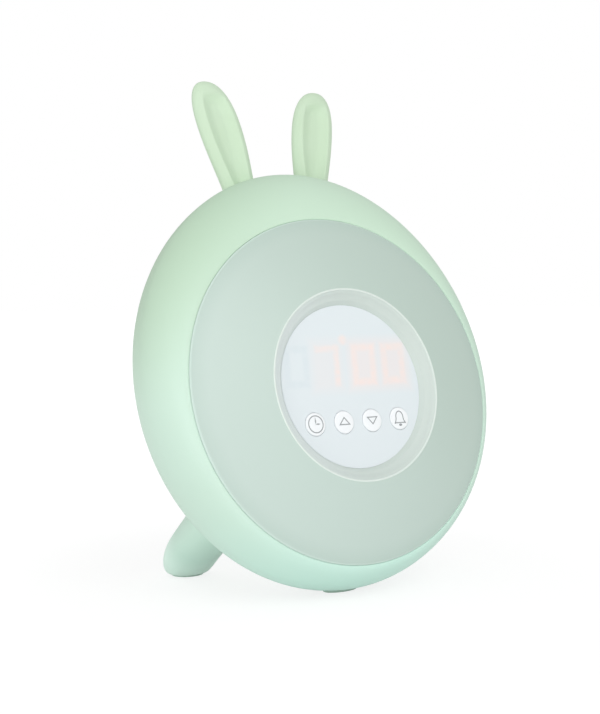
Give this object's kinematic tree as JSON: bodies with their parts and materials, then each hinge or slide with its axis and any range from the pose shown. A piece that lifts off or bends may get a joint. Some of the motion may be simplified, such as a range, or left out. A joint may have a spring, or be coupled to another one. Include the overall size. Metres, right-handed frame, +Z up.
{
  "type": "kids alarm clock with night light",
  "caption": "Round kids alarm clock with a night-light diffuser ring, small digital display, touch keys under it, two soft ears on top and two rear feet.",
  "frame": {"origin": "centre of the flat underside of the chin pad, on the table", "axes": "+X to the right seen from the front, +Y to the back, +Z up; the face looks along -Y and leans back"},
  "size_m": [0.1608, 0.0884, 0.2098],
  "materials": {
    "mint_shell": "soft satin",
    "ear_rubber": "matte, soft to the touch",
    "pad_rubber": "matte",
    "diffuser": "translucent satin",
    "display_white": "translucent white",
    "key_white": "satin",
    "black_plastic": "matte",
    "inner_plastic": "matte",
    "led": "clear",
    "board": "satin",
    "cell": "gloss",
    "metal": "satin"
  },
  "bodies": {
    "clock": {"battery_cells": "cell", "battery_contacts": "metal", "case_screws": "metal", "chassis": "inner_plastic", "chassis_screws": "metal", "chin_pad": "pad_rubber", "clock_chip": "black_plastic", "diffuser": "diffuser", "diffuser_screws": "metal", "digit_module": "black_plastic", "digit_segments": "led", "display_board": "board", "display_board_screws": "metal", "display_window": "display_white", "ear_left": "ear_rubber", "ear_right": "ear_rubber", "ear_screws": "metal", "ear_washers": "metal", "foot_left": "mint_shell", "foot_pads": "pad_rubber", "foot_right": "mint_shell", "foot_screws": "metal", "foot_washers": "metal", "front_housing": "mint_shell", "lamp_board": "board", "lamp_leds": "led", "main_board": "board", "main_board_screws": "metal", "power_socket": "black_plastic", "rear_housing": "mint_shell", "ribbon_cable": "inner_plastic", "socket_nut": "metal", "speaker": "black_plastic", "speaker_clamp": "inner_plastic", "speaker_screws": "metal", "tact_switches": "black_plastic"},
    "time_button": {"time_key": "key_white", "time_plunger": "black_plastic"},
    "up_button": {"up_key": "key_white", "up_plunger": "black_plastic"},
    "down_button": {"down_key": "key_white", "down_plunger": "black_plastic"},
    "alarm_button": {"alarm_key": "key_white", "alarm_plunger": "black_plastic"},
    "door": {"battery_door": "mint_shell", "battery_door_screw": "metal"}
  },
  "joints": [
    {"name": "time_press", "type": "slide", "parent": "clock", "child": "time_button", "axis": [0, 0.9648, -0.263], "range_m": [0, 0.0005], "stiffness_N_per_m": 400, "springref_m": -0.001},
    {"name": "up_press", "type": "slide", "parent": "clock", "child": "up_button", "axis": [0, 0.9648, -0.263], "range_m": [0, 0.0005], "stiffness_N_per_m": 400, "springref_m": -0.001},
    {"name": "down_press", "type": "slide", "parent": "clock", "child": "down_button", "axis": [0, 0.9648, -0.263], "range_m": [0, 0.0005], "stiffness_N_per_m": 400, "springref_m": -0.001},
    {"name": "alarm_press", "type": "slide", "parent": "clock", "child": "alarm_button", "axis": [0, 0.9648, -0.263], "range_m": [0, 0.0005], "stiffness_N_per_m": 400, "springref_m": -0.001},
    {"name": "battery_door_lift", "type": "slide", "parent": "clock", "child": "door", "axis": [0, 0.9648, -0.263], "range_m": [0, 0.02]}
  ]
}
